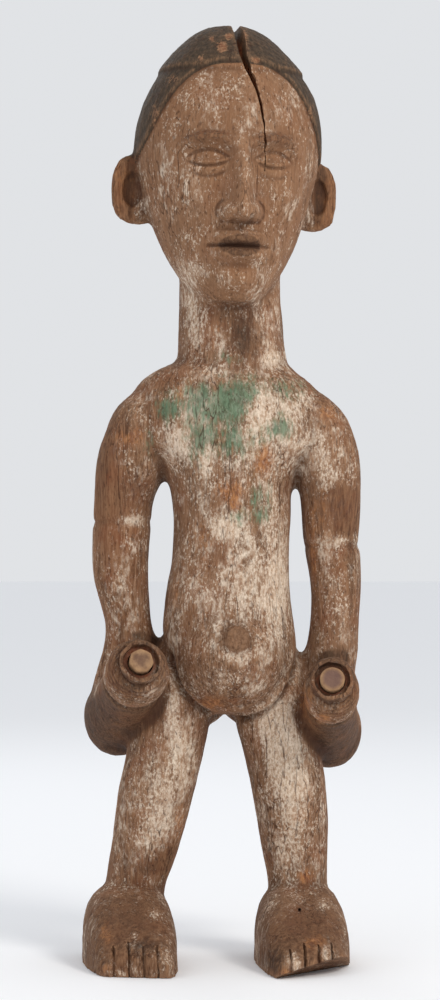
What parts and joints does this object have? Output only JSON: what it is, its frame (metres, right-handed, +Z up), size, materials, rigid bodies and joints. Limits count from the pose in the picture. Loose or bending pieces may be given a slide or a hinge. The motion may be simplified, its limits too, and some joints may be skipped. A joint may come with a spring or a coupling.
{
  "type": "ancestor figure",
  "caption": "Standing ancestor figure of weathered carved wood, forearms held forward, hands lost, with peg stubs in the wrists and a drying crack in the crown.",
  "frame": {"origin": "on the floor, under the middle of the figure's bounding box", "axes": "+Z up the figure, -Y the way it faces, +X towards its left side"},
  "size_m": [0.2568, 0.2148, 0.8496],
  "materials": {
    "weathered_wood": "dry and weathered, with worn kaolin and paint",
    "raw_peg_wood": "raw, matt"
  },
  "bodies": {
    "root": {"figure": "weathered_wood", "right_wrist_peg": "raw_peg_wood", "left_wrist_peg": "raw_peg_wood"}
  },
  "joints": []
}
